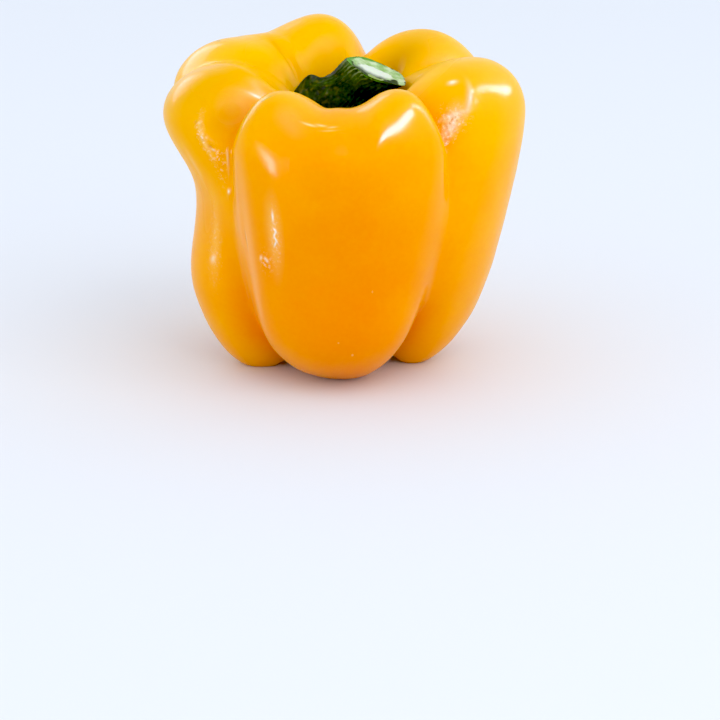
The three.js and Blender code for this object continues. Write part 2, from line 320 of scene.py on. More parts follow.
# Small unevenness of the skin, in mm. A wave has its size and lift. A fold or a patch of puckers has
# its angle and station, its slant, how far it spreads in degrees and in stations, and its strength.
skinRelief = {
    "waves": ((17.0, 0.30), (6.0, 0.07)),
    "folds": {
        "left lobe rim": (-160, 10.48, 0.016, 17.0, 0.22, 1.3),
        "front saddle": (-92, 10.25, 0, 10.0, 0.35, 0.6),
        "left crease wart": (-138.6, 7.31, 0, 1.0, 0.10, 0.45),
        "left shoulder dent": (-143.9, 8.30, 0, 1.3, 0.13, -0.40),
        "right shoulder pimple": (-32.9, 10.03, 0, 0.9, 0.09, 0.35),
    },
    "puckers": {
        "left shoulder": (-146.4, 8.52, -0.19, 1.9, 0.20, 0.9),
        "left crease": (-141.6, 7.95, 0, 2.0, 0.35, 0.45),
        "left belly": (-149, 6.45, 0, 3.0, 0.50, 0.22),
        "front left": (-114, 6.85, 0, 1.4, 0.36, 0.40),
        "front left low": (-119, 6.42, 0, 2.4, 0.12, 0.45),
        "right crease": (-42.0, 9.34, 0.02, 3.0, 0.24, 1.0),
        "right crease low": (-46.5, 9.02, 0, 2.2, 0.16, 1.0),
    },
    "puckerSize": 2.4,
    "puckerLift": 0.28,
    "puckerStretch": 0.6,         # how much closer its folds lie upwards than round the fruit
    "puckerCrest": 0.6,           # how high a fold's crest stands, and how steeply it falls off
    "puckerSteepness": 2.4,
    "dimpleSize": 1.25,
    "dimpleDepth": 0.50,
    "crinkleSize": 0.75,
    # Where the crinkles' grain is high a painted glint makes it pale, and where it is low painted shade
    # makes it a deeper orange
    "crinkleGlintsAndShade": ((0.54, 0.66, "#FFEEDC", 1.0), (0.44, 0.36, "#DB7E06", 0.55)),
    "freeAbove": 3.0,             # full relief above this height, and none on the toes' flats
    "freeBelow": 11.0,            # full relief below this station, and none from calyxFrom on
    "calyxFrom": 12.2,
    "dullFrom": 10.0,             # the wax in the hollow grows dull from this station
    "dullOver": 0.8,
    # Where else the wax is rubbed dull, and how much
    "dull": {
        "left lobe top": (-155, 10.0, 0, 9.0, 0.7, 1.0),
        "left lobe front": (-147, 9.72, 0, 7.0, 0.42, 1.0),
        "left belly": (-155, 7.0, 0, 14.0, 1.6, 0.5),
        "front left crest": (-113, 9.4, 0, 6.0, 0.6, 0.5),
        "front left shoulder": (-104.2, 8.25, 0, 3.6, 0.40, 2.4),
        "front middle": (-91.2, 8.90, 0, 5.5, 0.38, 2.6),
        "left lobe right": (-143.5, 9.50, 0, 3.0, 0.28, 1.6),
        "front right corner": (-55, 9.42, 0, 4.2, 0.45, 1.5),
        "right lobe ridge": (-33.0, 9.46, 0, 1.3, 0.10, 1.0),
        "right lobe edge": (4, 8.6, 0, 14.0, 2.6, 0.6),
        "back right top": (48, 10.2, 0, 16.0, 0.8, 0.6),
    },
}

# Fine marks of the skin, each an elongated spot: angle, station, slant, spread, reach, lift in mm,
# its colour and how strong that is. Many of these colours are painted light: pale painted highlights,
# glints, sheens and reflections, and darker painted shade in pits, creases and on shaded shoulders.
skinMarks = {
    "scratch shade": (-128.3, 6.71, -0.30, 0.20, 0.11, -0.04, "#D88A10", 0.6),
    # painted highlight: the scratch's ridge is pale where it catches the light, over a slight real lift
    "scratch ridge highlight": (-127.6, 6.66, -0.30, 0.18, 0.11, 0.10, "#FFE6B8", 0.6),
    # painted reflection: a thin pale line below the saddle where it mirrors the window light, over a slight
    # real lift
    "saddle reflection": (-104.0, 9.52, 0.006, 2.6, 0.026, 0.14, "#FFE79C", 0.8),
    "saddle reflection middle": (-99.4, 9.57, -0.004, 1.8, 0.024, 0.14, "#FFE79C", 0.7),
    "saddle reflection right": (-95.0, 9.53, 0.006, 1.6, 0.022, 0.10, "#FFDF8C", 0.6),
    "saddle reflection below": (-96.0, 9.44, 0.004, 2.4, 0.020, 0.06, "#FFDF8C", 0.4),
    # painted highlight: pale glints along the ridge beside the left crease, over a real lift
    "crease ridge highlight": (-139.0, 8.10, -0.15, 0.35, 0.32, 0.20, "#FFE2B0", 0.5),
    # painted shade darkens the pits, and a painted highlight makes the dent's rim pale; their lifts are real
    "shoulder pit shade": (-149.0, 8.85, 0, 0.45, 0.055, -0.12, "#D8900A", 0.5),
    "dent pit shade": (-143.9, 8.30, 0, 0.50, 0.060, -0.16, "#D08408", 0.6),
    "dent rim highlight": (-143.0, 8.22, 0, 0.60, 0.035, 0.16, "#FFE9C8", 0.7),
    "wart glint": (-138.6, 7.33, 0, 0.50, 0.035, 0.10, "#FFEBCF", 0.9),
    # painted sheen: a soft pale band round the zigzag glints
    "front left sheen": (-114.3, 6.88, 0, 2.4, 0.50, 0, "#FFCE78", 0.45),
    # painted glints: small white marks where fine folds of the front lobe catch the light, over a slight
    # real lift
    "upper glint": (-114.3, 7.15, 0, 0.40, 0.085, 0.16, "#FFF2DC", 0.9),
    "zigzag glint top": (-113.9, 6.93, -0.05, 0.60, 0.026, 0.10, "#FFF4E4", 1.0),
    "zigzag glint middle": (-114.1, 6.87, 0.07, 0.60, 0.026, 0.10, "#FFF4E4", 1.0),
    "zigzag glint bottom": (-113.9, 6.79, -0.07, 0.65, 0.026, 0.10, "#FFF4E4", 1.0),
    "zigzag glint end": (-114.2, 6.72, 0.06, 0.55, 0.026, 0.10, "#FFF4E4", 0.9),
    # painted glints: a small raised ring made pale where it catches the light
    "low ring glint left": (-121.0, 6.46, 0.03, 0.60, 0.030, 0.12, "#FFE9C0", 0.7),
    "low ring glint right": (-118.6, 6.45, -0.02, 0.80, 0.030, 0.12, "#FFE9C0", 0.7),
    # painted sheen: a soft pale band low on the left lobe
    "belly sheen": (-148.5, 6.50, 0.06, 2.6, 0.55, 0, "#FFC96A", 0.35),
    "belly glint": (-149.6, 6.20, 0.02, 1.2, 0.060, 0.08, "#FFE6C0", 0.6),
    "left streak": (-153.5, 7.70, -0.08, 1.4, 0.28, 0, "#FFD28A", 0.35),
    # painted reflection: a broad pinkish-white sheen over the right crease's puckers
    "right crease sheen": (-42.5, 9.28, 0.05, 3.2, 0.15, 0, "#FFECDC", 0.65),
    # painted sheens: pale bands where the front lobe's left edge, the left crease and the left shoulder
    # mirror the pale room and lights
    "front left edge sheen": (-126.5, 6.40, 0, 2.4, 1.50, 0, "#FFC488", 0.34),
    "left crease sheen": (-132.5, 6.40, 0, 3.2, 1.20, 0, "#FFB46A", 0.35),
    "left shoulder sheen": (-146.2, 8.55, -0.20, 2.0, 0.20, 0, "#FFE0A0", 0.50),
    "left lobe shade": (-143.0, 9.35, 0, 3.4, 0.50, 0, "#D98A06", 0.45),
    # painted shade: the front lobe's left shoulder is a deeper orange where less light falls
    "front shoulder shade": (-111.0, 9.20, 0, 6.5, 0.45, 0, "#E29206", 0.40),
    "blossom end": (0, 0, 0, 400, 0.30, -0.20, "#8A6A2A", 0.8),
    # painted highlight: a pale strip down the right lobe's ridge and on towards its crease, over a real lift
    "right highlight strip": (-34.8, 9.55, 0.062, 3.2, 0.070, 0.42, "#FFE6C8", 0.75),
    "right highlight strip low": (-40.5, 9.44, -0.022, 2.8, 0.060, 0.15, "#FFE6C8", 0.65),
    # painted shade: the left lobe's top and the front lobe's upper left are a deeper orange where less light
    # falls from the upper left
    "left lobe broad shade": (-155, 9.60, 0, 15.0, 1.1, 0, "#DD9C06", 0.55),
    "front left broad shade": (-119, 9.45, 0, 9.0, 0.7, 0, "#DD9C06", 0.35),
    "rim glint": (-143.8, 10.17, 0.02, 1.6, 0.045, 0, "#FFF4DC", 0.8),
    "pimple glint": (-32.9, 10.03, 0, 1.0, 0.055, 0, "#FFF0D8", 0.9),
    "rim fleck": (-59.9, 10.11, 0.02, 0.8, 0.030, 0.15, "#FFF3C4", 0.6),
    "inner fleck": (0.7, 11.07, 0.02, 2.0, 0.030, 0.15, "#FFF3C4", 0.5),
    "inner fold shade": (138.0, 10.82, 0.106, 5.0, 0.160, 0, "#DB9306", 0.4),
    "brown speck": (150.6, 9.84, 0.05, 0.6, 0.035, 0, "#7A5410", 0.8),
    "green edge": (-123.5, 9.71, 0.077, 2.2, 0.045, 0, "#9DB36A", 0.6),
    "green edge low": (-128.5, 9.45, -0.05, 1.6, 0.50, 0, "#B9B03C", 0.45),
    "hollow shade": (40, 11.2, 0, 20.0, 0.8, 0, "#BE8410", 0.6),
    "low dot": (-87.2, 4.85, 0, 0.40, 0.026, 0.04, "#FFDC98", 0.45),
    "low dot left": (-92.5, 5.15, 0, 0.34, 0.022, 0.04, "#FFDC98", 0.3),
    "low dot right": (-80.5, 6.05, 0, 0.30, 0.020, 0.04, "#FFDC98", 0.3),
}


# How strongly a mark is felt, worked out in the material, so that it can be finer than the mesh.
def addSpot(tree, spot):
    at, along, slant, spread, reach = spot[:5]
    around = addNode(tree, "ShaderNodeAttribute", {"attribute_name": "around"})
    station = addNode(tree, "ShaderNodeAttribute", {"attribute_name": "station"})
    turn = addNode(tree, "ShaderNodeMath", {"operation": "SUBTRACT"}, {
        0: around.outputs["Fac"], 1: angleBetween(at, frontAngle)})
    middle = addNode(tree, "ShaderNodeMath", {"operation": "MULTIPLY_ADD"}, {
        0: turn.outputs[0], 1: slant, 2: along})
    rise = addNode(tree, "ShaderNodeMath", {"operation": "SUBTRACT"}, {
        0: station.outputs["Fac"], 1: middle.outputs[0]})
    turnShare = addNode(tree, "ShaderNodeMath", {"operation": "DIVIDE"}, {0: turn.outputs[0], 1: spread})
    riseShare = addNode(tree, "ShaderNodeMath", {"operation": "DIVIDE"}, {0: rise.outputs[0], 1: reach})
    turnSquared = addNode(tree, "ShaderNodeMath", {"operation": "MULTIPLY"}, {
        0: turnShare.outputs[0], 1: turnShare.outputs[0]})
    squared = addNode(tree, "ShaderNodeMath", {"operation": "MULTIPLY_ADD"}, {
        0: riseShare.outputs[0], 1: riseShare.outputs[0], 2: turnSquared.outputs[0]})
    weight = addNode(tree, "ShaderNodeMath", {"operation": "POWER"}, {
        0: math.exp(-1), 1: squared.outputs[0]})
    return weight.outputs[0]


# The skin's colours and gloss. Sizes are in mm, and a shift is how much a pattern adds to how ripe the skin
# is, on top of the painted crease shade.
skinFinish = {
    "golden": "#FBC008",
    "orange": "#F6A404",
    "ripest": "#EE8602",
    "patchSize": 16.0,
    "patchShift": 0.36,
    "mottleSize": 1.1,
    "mottleShift": 0.18,
    "grainSize": 0.9,
    "grainDepth": 0.03,
    "fleshRoughness": 0.45,
    "glowShare": 0.25,            # how much of the light sinks into the flesh, and how deep
    "glowDepth": 3.0,
    "glowColours": (1.0, 0.42, 0.06),
    "dullWax": 0.15,              # how much of the wax's gloss is left where it is rubbed dull
    "waxRoughness": 0.15,
    "dullRoughness": 0.42,
    "waxIor": 1.25,
    "edgeOnLoss": 0.65,           # seen edge-on the wax takes on less of the pale room than glass would
    "edgeOnPower": 3.0,
}


# Yellow skin with broad riper patches and a fine mottle, on top of the painted shade that makes the creases
# a deeper orange towards the bottom.
def addRipeColour(tree, place):
    ripe = addNode(tree, "ShaderNodeAttribute", {"attribute_name": "ripenessAndCreaseShade"})
    ripenessAndCreaseShade = ripe.outputs["Fac"]
    patterns = (
        (skinFinish["patchSize"], skinFinish["patchShift"], 0.55),
        (skinFinish["mottleSize"], skinFinish["mottleShift"], 0.6),
    )
    for size, shift, roughness in patterns:
        pattern = addNode(tree, "ShaderNodeTexNoise", {}, {
            "Vector": place, "Scale": 1 / (size * mm), "Detail": 3.0, "Roughness": roughness})
        added = addNode(tree, "ShaderNodeMath", {"operation": "MULTIPLY_ADD"}, {
            0: pattern.outputs["Fac"], 1: shift, 2: -shift / 2})
        total = addNode(tree, "ShaderNodeMath", {"operation": "ADD"}, {0: ripenessAndCreaseShade, 1: added.outputs[0]})
        ripenessAndCreaseShade = total.outputs[0]
    colour = addNode(tree, "ShaderNodeValToRGB", {}, {"Fac": ripenessAndCreaseShade})
    ramp = colour.color_ramp
    ramp.elements[0].color = linear(skinFinish["golden"])
    ramp.elements[1].color = linear(skinFinish["ripest"])
    ramp.elements.new(0.5).color = linear(skinFinish["orange"])
    return colour.outputs["Color"]


# Tints the colour with every mark, and adds up their lifts.
def addMarks(tree, colour):
    lifts = 0.0
    for spot in skinMarks.values():
        lift, tint, strength = spot[5:]
        weight = addSpot(tree, spot)
        amount = addNode(tree, "ShaderNodeMath", {"operation": "MULTIPLY"}, {0: weight, 1: strength})
        over = addNode(tree, "ShaderNodeMix", {"data_type": "RGBA"}, {
            0: amount.outputs[0], 6: colour, 7: linear(tint)})
        colour = over.outputs[2]
        raised = addNode(tree, "ShaderNodeMath", {"operation": "MULTIPLY_ADD"}, {
            0: weight, 1: lift, 2: lifts})
        lifts = raised.outputs[0]
    return colour, lifts


# Painted glints and painted shade, a deeper orange, in the grain of the puckered patches.
def addCrinkles(tree, place, pucker, colour):
    crinkles = addNode(tree, "ShaderNodeTexNoise", {}, {
        "Vector": place, "Scale": 1 / (skinRelief["crinkleSize"] * mm), "Detail": 2.0, "Roughness": 0.65})
    for fromMin, fromMax, tint, strength in skinRelief["crinkleGlintsAndShade"]:
        share = addNode(tree, "ShaderNodeMapRange", {}, {
            "Value": crinkles.outputs["Fac"], "From Min": fromMin, "From Max": fromMax, "To Max": strength})
        amount = addNode(tree, "ShaderNodeMath", {"operation": "MULTIPLY"}, {
            0: share.outputs[0], 1: pucker})
        over = addNode(tree, "ShaderNodeMix", {"data_type": "RGBA"}, {
            0: amount.outputs[0], 6: colour, 7: linear(tint)})
        colour = over.outputs[2]
    return colour


# How much of the wax's gloss is left, and how rough the wax is.
def addWax(tree):
    dull = addNode(tree, "ShaderNodeAttribute", {"attribute_name": "dull"})
    gloss = addNode(tree, "ShaderNodeMapRange", {}, {
        "Value": dull.outputs["Fac"], "To Min": 1.0, "To Max": skinFinish["dullWax"]})
    edgeOn = addNode(tree, "ShaderNodeLayerWeight", {}, {"Blend": 0.5})
    edgeCurve = addNode(tree, "ShaderNodeMath", {"operation": "POWER"}, {
        0: edgeOn.outputs["Facing"], 1: skinFinish["edgeOnPower"]})
    edgeShare = addNode(tree, "ShaderNodeMath", {"operation": "MULTIPLY_ADD"}, {
        0: edgeCurve.outputs[0], 1: -skinFinish["edgeOnLoss"], 2: 1.0})
    wax = addNode(tree, "ShaderNodeMath", {"operation": "MULTIPLY"}, {
        0: gloss.outputs[0], 1: edgeShare.outputs[0]})
    roughness = addNode(tree, "ShaderNodeMapRange", {}, {
        "Value": dull.outputs["Fac"],
        "To Min": skinFinish["waxRoughness"], "To Max": skinFinish["dullRoughness"]})
    return wax.outputs[0], roughness.outputs[0]


# Waxy pepper skin: a thin clear gloss over flesh that light sinks into, so the yellow glows and
# turns orange where the flesh is ripest and where shade is painted low in the creases. Its marks
# and crinkles also paint highlights, sheens, glints and shade into its colour.
def makeSkin():
    material, tree = startMaterial("waxy_yellow_pepper_skin")
    place = addNode(tree, "ShaderNodeTexCoord").outputs["Object"]
    pucker = addNode(tree, "ShaderNodeAttribute", {"attribute_name": "pucker"}).outputs["Fac"]
    colour, lifts = addMarks(tree, addRipeColour(tree, place))
    colour = addCrinkles(tree, place, pucker, colour)
    dimples = addNode(tree, "ShaderNodeTexVoronoi", {"feature": "SMOOTH_F1"}, {
        "Vector": place, "Scale": 1 / (skinRelief["dimpleSize"] * mm), "Smoothness": 0.35})
    dimpled = addNode(tree, "ShaderNodeMath", {"operation": "MULTIPLY"}, {
        0: dimples.outputs["Distance"], 1: pucker})
    height = addNode(tree, "ShaderNodeMath", {"operation": "MULTIPLY_ADD"}, {
        0: dimpled.outputs[0], 1: skinRelief["dimpleDepth"], 2: lifts})
    marked = addNode(tree, "ShaderNodeBump", {}, {
        "Height": height.outputs[0], "Strength": 1.0, "Distance": 1 * mm})
    fine = addNode(tree, "ShaderNodeTexNoise", {}, {
        "Vector": place, "Scale": 1 / (skinFinish["grainSize"] * mm), "Detail": 2.0})
    bump = addNode(tree, "ShaderNodeBump", {}, {
        "Height": fine.outputs["Fac"], "Strength": 0.5, "Distance": skinFinish["grainDepth"] * mm,
        "Normal": marked.outputs[0]})
    waxShare, waxRoughness = addWax(tree)
    shader = addNode(tree, "ShaderNodeBsdfPrincipled", {}, {
        "Base Color": colour,
        "Normal": bump.outputs["Normal"],
        "Roughness": skinFinish["fleshRoughness"],
        "IOR": 1.4,
        "Specular IOR Level": 0.05,
        "Subsurface Weight": skinFinish["glowShare"],
        "Subsurface Radius": skinFinish["glowColours"],
        "Subsurface Scale": skinFinish["glowDepth"] * mm,
        "Coat Normal": marked.outputs["Normal"],
        "Coat Weight": waxShare,
        "Coat Roughness": waxRoughness,
        "Coat IOR": skinFinish["waxIor"],
    })
    addNode(tree, "ShaderNodeOutputMaterial", {}, {"Surface": shader.outputs[0]})
    return material


# How far the skin is lifted off its smooth shape, in mm, and how crinkled it is there.
def reliefAt(co, angle, station):
    lift = 0.0
    for size, height in skinRelief["waves"]:
        lift += height * noise.noise(co / size)
    for spot in skinRelief["folds"].values():
        lift += spot[5] * spotWeight(spot, angle, station)
    crinkle = 0.0
    for spot in skinRelief["puckers"].values():
        crinkle += spot[5] * spotWeight(spot, angle, station)
    if crinkle > 0.01:
        size = skinRelief["puckerSize"]
        folded = noise.noise(Vector((co.x / size, co.y / size, co.z / size * skinRelief["puckerStretch"])))
        crest = skinRelief["puckerCrest"] - skinRelief["puckerSteepness"] * abs(folded)
        lift += crinkle * skinRelief["puckerLift"] * crest
    return lift, crinkle


# How ripe the skin is, from 0 golden to 1 deep orange, together with painted shade that makes the
# creases a deeper orange towards the bottom. Each entry after the first has how much it adds
# or takes away, the height where that starts, and over how many mm it grows.
ripeningAndCreaseShade = {
    "plain": 0.48,
    "lessAbove": (0.36, 30, 48),
    "frontBelow": (0.42, 84, 28),
    # painted shade: the creases grow a deeper orange towards the bottom
    "creaseShadeBelow": (0.40, 40, 30),
    "frontAt": -92,
    "frontSpread": 42,
    "creaseSpread": 8,
}


def ripenessAndCreaseShadeAt(angle, height):
    front = hill(angleBetween(angle, ripeningAndCreaseShade["frontAt"]), ripeningAndCreaseShade["frontSpread"])
    spread = ripeningAndCreaseShade["creaseSpread"]
    shadedCrease = max(hill(angleBetween(angle, crease[0]), spread) for crease in lowerCreases)
    less, start, length = ripeningAndCreaseShade["lessAbove"]
    ripe = ripeningAndCreaseShade["plain"] - less * smooth(clamp((height - start) / length))
    more, start, length = ripeningAndCreaseShade["frontBelow"]
    ripe += more * front * smooth(clamp((start - height) / length))
    # painted shade: deeper orange low in the creases
    more, start, length = ripeningAndCreaseShade["creaseShadeBelow"]
    ripe += more * shadedCrease * smooth(clamp((start - height) / length))
    return clamp(ripe)


def dullnessAt(angle, station):
    dull = smooth(clamp((station - skinRelief["dullFrom"]) / skinRelief["dullOver"]))
    for spot in skinRelief["dull"].values():
        dull = max(dull, spot[5] * spotWeight(spot, angle, station))
    return dull


def makeFruit():
    angles = columnAngles(fruitShape["columnsPerLobe"])
    curves = [controlPoints(sectionAt(angle)) for angle in angles]
    rows = fruitShape["rows"]
    stations = [row / rows * lastStation for row in range(rows + 1)]
    weights = [curveWeights(station, lastStation) for station in stations]

    def placeAt(column, row):
        return skinPoint(angles[column], curves[column], stations[row], weights[row])

    bm, where = shapedBall(angles, rows, placeAt)
    layers = {}
    for name in ("ripenessAndCreaseShade", "pucker", "dull", "around", "station"):
        layers[name] = bm.verts.layers.float.new(name)
    calyxFrom = skinRelief["calyxFrom"]
    relief = []
    for vert, (column, row) in zip(bm.verts, where):
        co = vert.co
        angle = angles[column]
        station = stations[row]
        lift, crinkle = reliefAt(co, angle, station)
        vert[layers["ripenessAndCreaseShade"]] = ripenessAndCreaseShadeAt(angle, co.z)
        vert[layers["pucker"]] = clamp(crinkle)
        vert[layers["dull"]] = dullnessAt(angle, station)
        vert[layers["around"]] = angleBetween(angle, frontAngle)
        vert[layers["station"]] = station
        free = clamp(co.z / skinRelief["freeAbove"])
        free *= clamp((calyxFrom - station) / (calyxFrom - skinRelief["freeBelow"]))
        relief.append(vert.normal * lift * free)
    for vert, step in zip(bm.verts, relief):
        vert.co += step
    return bm


def fruitNormal(angle, station):
    inner = min(station, lastStation - 0.04)
    upward = fruitPoint(angle, inner + 0.02) - fruitPoint(angle, inner - 0.02)
    around = fruitPoint(angle + 0.5, inner) - fruitPoint(angle - 0.5, inner)
    return around.cross(upward).normalized()


# The green calyx in the hollow, its knuckle on the left, and the stalk that leans right to its cut.
stemShape = {
    "gap": 0.3,                   # clear of the fruit's skin
    "edge": 1.2,
    "crown": 2.6,
    "reach": 11.6,                # how far up the hollow's wall it lies, as a station of the skin
    "teeth": 6,
    "toothDepth": 0.45,
    "toothTurn": 20,
    "knuckleAt": 185,
    "knuckleSpread": 38,
    "tip": (184, 5, 3.0),         # the knuckle's small point: angle, spread and how far it stands up
    "ribs": 5,
    "ribHeight": 0.05,
    "ribTurn": 40,
    # across, height, lean and radius of each ring, then reach and height where it runs over the knuckle
    "rings": (
        (-0.4, 63.3, 0, 9.0, 15.0, 65.2),
        (-0.2, 65.3, 4, 8.0, 12.6, 68.0),
        (0.7, 66.9, 10, 7.0, 9.0, 70.8),
        (2.0, 68.4, 16, 6.6, 6.0, 71.2),
        (3.6, 70.1, 20, 6.9, None, None),
        (5.3, 71.6, 22, 7.2, None, None),
        (7.1, 73.0, 22, 7.5, None, None),
    ),
    "cut": (8.0, 73.4, 21.5, 7.7),
    "cutDepth": 0.94,             # its width from front to back beside its width across
    "forwardLean": 0.25,          # how much of its lean to the right it also leans forward
    "cutSink": 0.5,               # how far the face of the cut lies below its edge
    "cutDip": (0.92, 0.3),        # just inside the edge: its share of the radius and of the sink
    "crownAt": 0.2,               # where the calyx is thickest, as a share of the way in from its edge
    "pithRadius": 4.0,
    "bevel": (0.12, 0.6),         # the front of the cut falls away: where it starts and how steeply
    "columnsPerLobe": 30,
    "underRows": 10,
    "rows": 150,
}


def calyxPoint(angle, station, lift):
    normal = Vector((0, 0, 1)) if station >= lastStation else fruitNormal(angle, station)
    return fruitPoint(angle, station) + normal * lift


def calyxEdgeStation(angle):
    tooth = 0.5 + 0.5 * math.cos(math.radians((angle - stemShape["toothTurn"]) * stemShape["teeth"]))
    return stemShape["reach"] + stemShape["toothDepth"] * (1 - tooth ** 1.4)


def stalkPoint(ring, angle, radius, sink):
    lean = math.radians(ring[2])
    turn = math.radians(angle)
    ribs = math.radians((angle - stemShape["ribTurn"]) * stemShape["ribs"])
    reach = radius * (1 + stemShape["ribHeight"] * math.cos(ribs))
    across = reach * math.cos(turn)
    deep = reach * math.sin(turn) * stemShape["cutDepth"]
    forward = deep * math.tan(lean * stemShape["forwardLean"])
    return Vector((
        ring[0] + across * math.cos(lean) - sink * math.sin(lean),
        deep,
        ring[1] - across * math.sin(lean) - sink * math.cos(lean) + forward))


# The stem's upper skin at one angle, from the calyx's edge up the stalk to the middle of the cut.
def stemCurve(angle):
    edge = calyxEdgeStation(angle)
    gap = stemShape["gap"]
    points = [
        calyxPoint(angle, edge, gap),
        calyxPoint(angle, edge, gap + stemShape["edge"]),
        calyxPoint(angle, mix(edge, lastStation, stemShape["crownAt"]), gap + stemShape["crown"]),
    ]
    knuckle = hill(angleBetween(angle, stemShape["knuckleAt"]), stemShape["knuckleSpread"])
    tipAt, tipSpread, tipHeight = stemShape["tip"]
    tip = tipHeight * hill(angleBetween(angle, tipAt), tipSpread)
    turn = math.radians(angle)
    for k, ring in enumerate(stemShape["rings"]):
        point = stalkPoint(ring, angle, ring[3], 0)
        if ring[4]:
            over = Vector((ring[4] * math.cos(turn), ring[4] * math.sin(turn), ring[5]))
            point = point.lerp(over, knuckle)
        if k == 2:
            point.z += tip
        points.append(point)
    cut = stemShape["cut"]
    sink = stemShape["cutSink"]
    rim = stalkPoint(cut, angle, cut[3], 0)
    points += [rim, rim]
    dipRadius, dipSink = stemShape["cutDip"]
    points.append(stalkPoint(cut, angle, cut[3] * dipRadius, sink * dipSink))
    points.append(stalkPoint(cut, angle, stemShape["pithRadius"], sink))
    points.append(stalkPoint(cut, angle, 0, sink))
    return points


# Unevenness and marks of the stem, in mm. A station counts the points of the stem's curve, from the
# calyx's edge to the middle of the cut.
barkRelief = {
    "barkFrom": (1.2, 1.5),       # station, and over how many more the relief grows
    "barkTo": (10.6, 0.6),
    "roughSize": 0.9,
    "roughLift": 0.14,
    "cords": 17,
    "cordWaver": 3.0,
    "cordLift": 0.16,
    "cutFrom": (10.4, 0.5),
    "lipTo": 11.6,                # the edge of the cut is ragged up to this station
    "lipLift": 0.35,
    "cork": (2.5, 9.0, 200, 40, 0.45),       # from and to which station, angle, spread, strength
    "streak": (7.5, 10.4, 222, 34, 0.75),
}


def corkAt(co, angle):
    at, spread, strength = barkRelief["cork"][2:]
    specks = noise.noise(co / 0.8 + Vector((7, 0, 0))) + 0.5 * noise.noise(co / 2.5)
    return strength * smooth(clamp((specks - 0.05) / 0.6)) * hill(angleBetween(angle, at), spread)


def streakAt(angle, station, cord, rough):
    at, spread, strength = barkRelief["streak"][2:]
    grown = smooth(clamp((station - barkRelief["streak"][0]) / 2))
    streak = smooth(clamp((cord - 0.35 + 0.6 * rough) / 0.5)) * grown
    return strength * streak * hill(angleBetween(angle, at), spread)


def makeStem():
    angles = columnAngles(stemShape["columnsPerLobe"])
    curves = []
    for angle in angles:
        points = stemCurve(angle)
        curves.append([points[0]] + points + [points[-1]])
    edges = [calyxEdgeStation(angle) for angle in angles]
    under = stemShape["underRows"]
    rows = stemShape["rows"]

    def placeAt(column, row):
        if row <= under:
            station = mix(lastStation, edges[column], row / under)
            return calyxPoint(angles[column], station, stemShape["gap"])
        curve = curves[column]
        last = len(curve) - 3
        return Vector(curvePoint(curve, *curveWeights((row - under) / (rows - under) * last, last)))

    bm, where = shapedBall(angles, rows, placeAt)
    layers = {}
    for name in ("streak", "flesh", "rind", "lip", "pith", "crack", "cork"):
        layers[name] = bm.verts.layers.float.new(name)
    cut = stemShape["cut"]
    lean = math.radians(cut[2])
    middle = Vector((cut[0], 0, cut[1]))
    axis = Vector((math.sin(lean), 0, math.cos(lean)))
    along = Vector((math.cos(lean), 0, -math.sin(lean)))
    last = len(curves[0]) - 3
    barkFrom, barkGrows = barkRelief["barkFrom"]
    barkTo, barkFades = barkRelief["barkTo"]
    cutFrom, cutGrows = barkRelief["cutFrom"]
    steps = []
    for vert, (column, row) in zip(bm.verts, where):
        angle = angles[column]
        station = (row - under) / (rows - under) * last
        rough = noise.noise(vert.co / barkRelief["roughSize"])
        waver = 2 * noise.noise(vert.co / barkRelief["cordWaver"])
        cord = 1 - abs(math.sin(math.radians(angle) * barkRelief["cords"] + waver))
        onBark = smooth(clamp((station - barkFrom) / barkGrows))
        onBark *= smooth(clamp((barkTo - station) / barkFades))
        cordLift = barkRelief["cordLift"] * (cord - 0.4) * smooth(clamp(station / 5))
        step = vert.normal * onBark * (barkRelief["roughLift"] * rough + cordLift)
        away = vert.co - middle
        a = away.dot(along) / cut[3]
        b = away.y / (cut[3] * stemShape["cutDepth"])
        onCut = smooth(clamp((station - cutFrom) / cutGrows))
        if onCut > 0:
            marks = cutMarks(a, b)
            for name, amount in marks.items():
                vert[layers[name]] = amount * onCut
            step += axis * onCut * cutLift(a, b, marks)
            if station < barkRelief["lipTo"]:
                ragged = noise.noise(Vector((a * 7, b * 7, 3)))
                step += away.normalized() * barkRelief["lipLift"] * ragged
        elif barkRelief["cork"][0] < station < barkRelief["cork"][1]:
            vert[layers["cork"]] = corkAt(vert.co, angle)
        if barkRelief["streak"][0] < station < barkRelief["streak"][1]:
            vert[layers["streak"]] = streakAt(angle, station, cord, rough)
        steps.append(step)
    for vert, step in zip(bm.verts, steps):
        vert.co += step
    return bm


# The face of the cut, in shares of its radius: a runs to the right, b towards the back.
cutFace = {
    "pithMiddle": (-0.05, 0),
    "pithHalf": (0.58, 0.34),
    "pithRagged": 0.16,
    "crackAt": 1.14,              # where the crack runs, in shares of the pith's size
    "crackWidth": (0.09, 0.17),   # how wide it is behind the pith and in front of it
    "crackEnd": (0.40, 0.12),     # where it ends on the right, and over what length it fades
    # The front border of the flesh: its b on the far left, then where each step starts, its length
    # and the b that it leads to
    "borderStart": 0.05,
    "borderSteps": ((-0.9, 0.4, -0.42), (-0.32, 0.12, -0.86), (-0.1, 0.75, -0.16), (0.68, 0.12, -0.9)),
    "borderRagged": 0.18,
    "rindFrom": 0.84,
    "lipBelow": -0.44,
    "pithLift": 0.20,             # these three in mm
    "crackDepth": 0.55,
    "roughLift": 0.12,
}


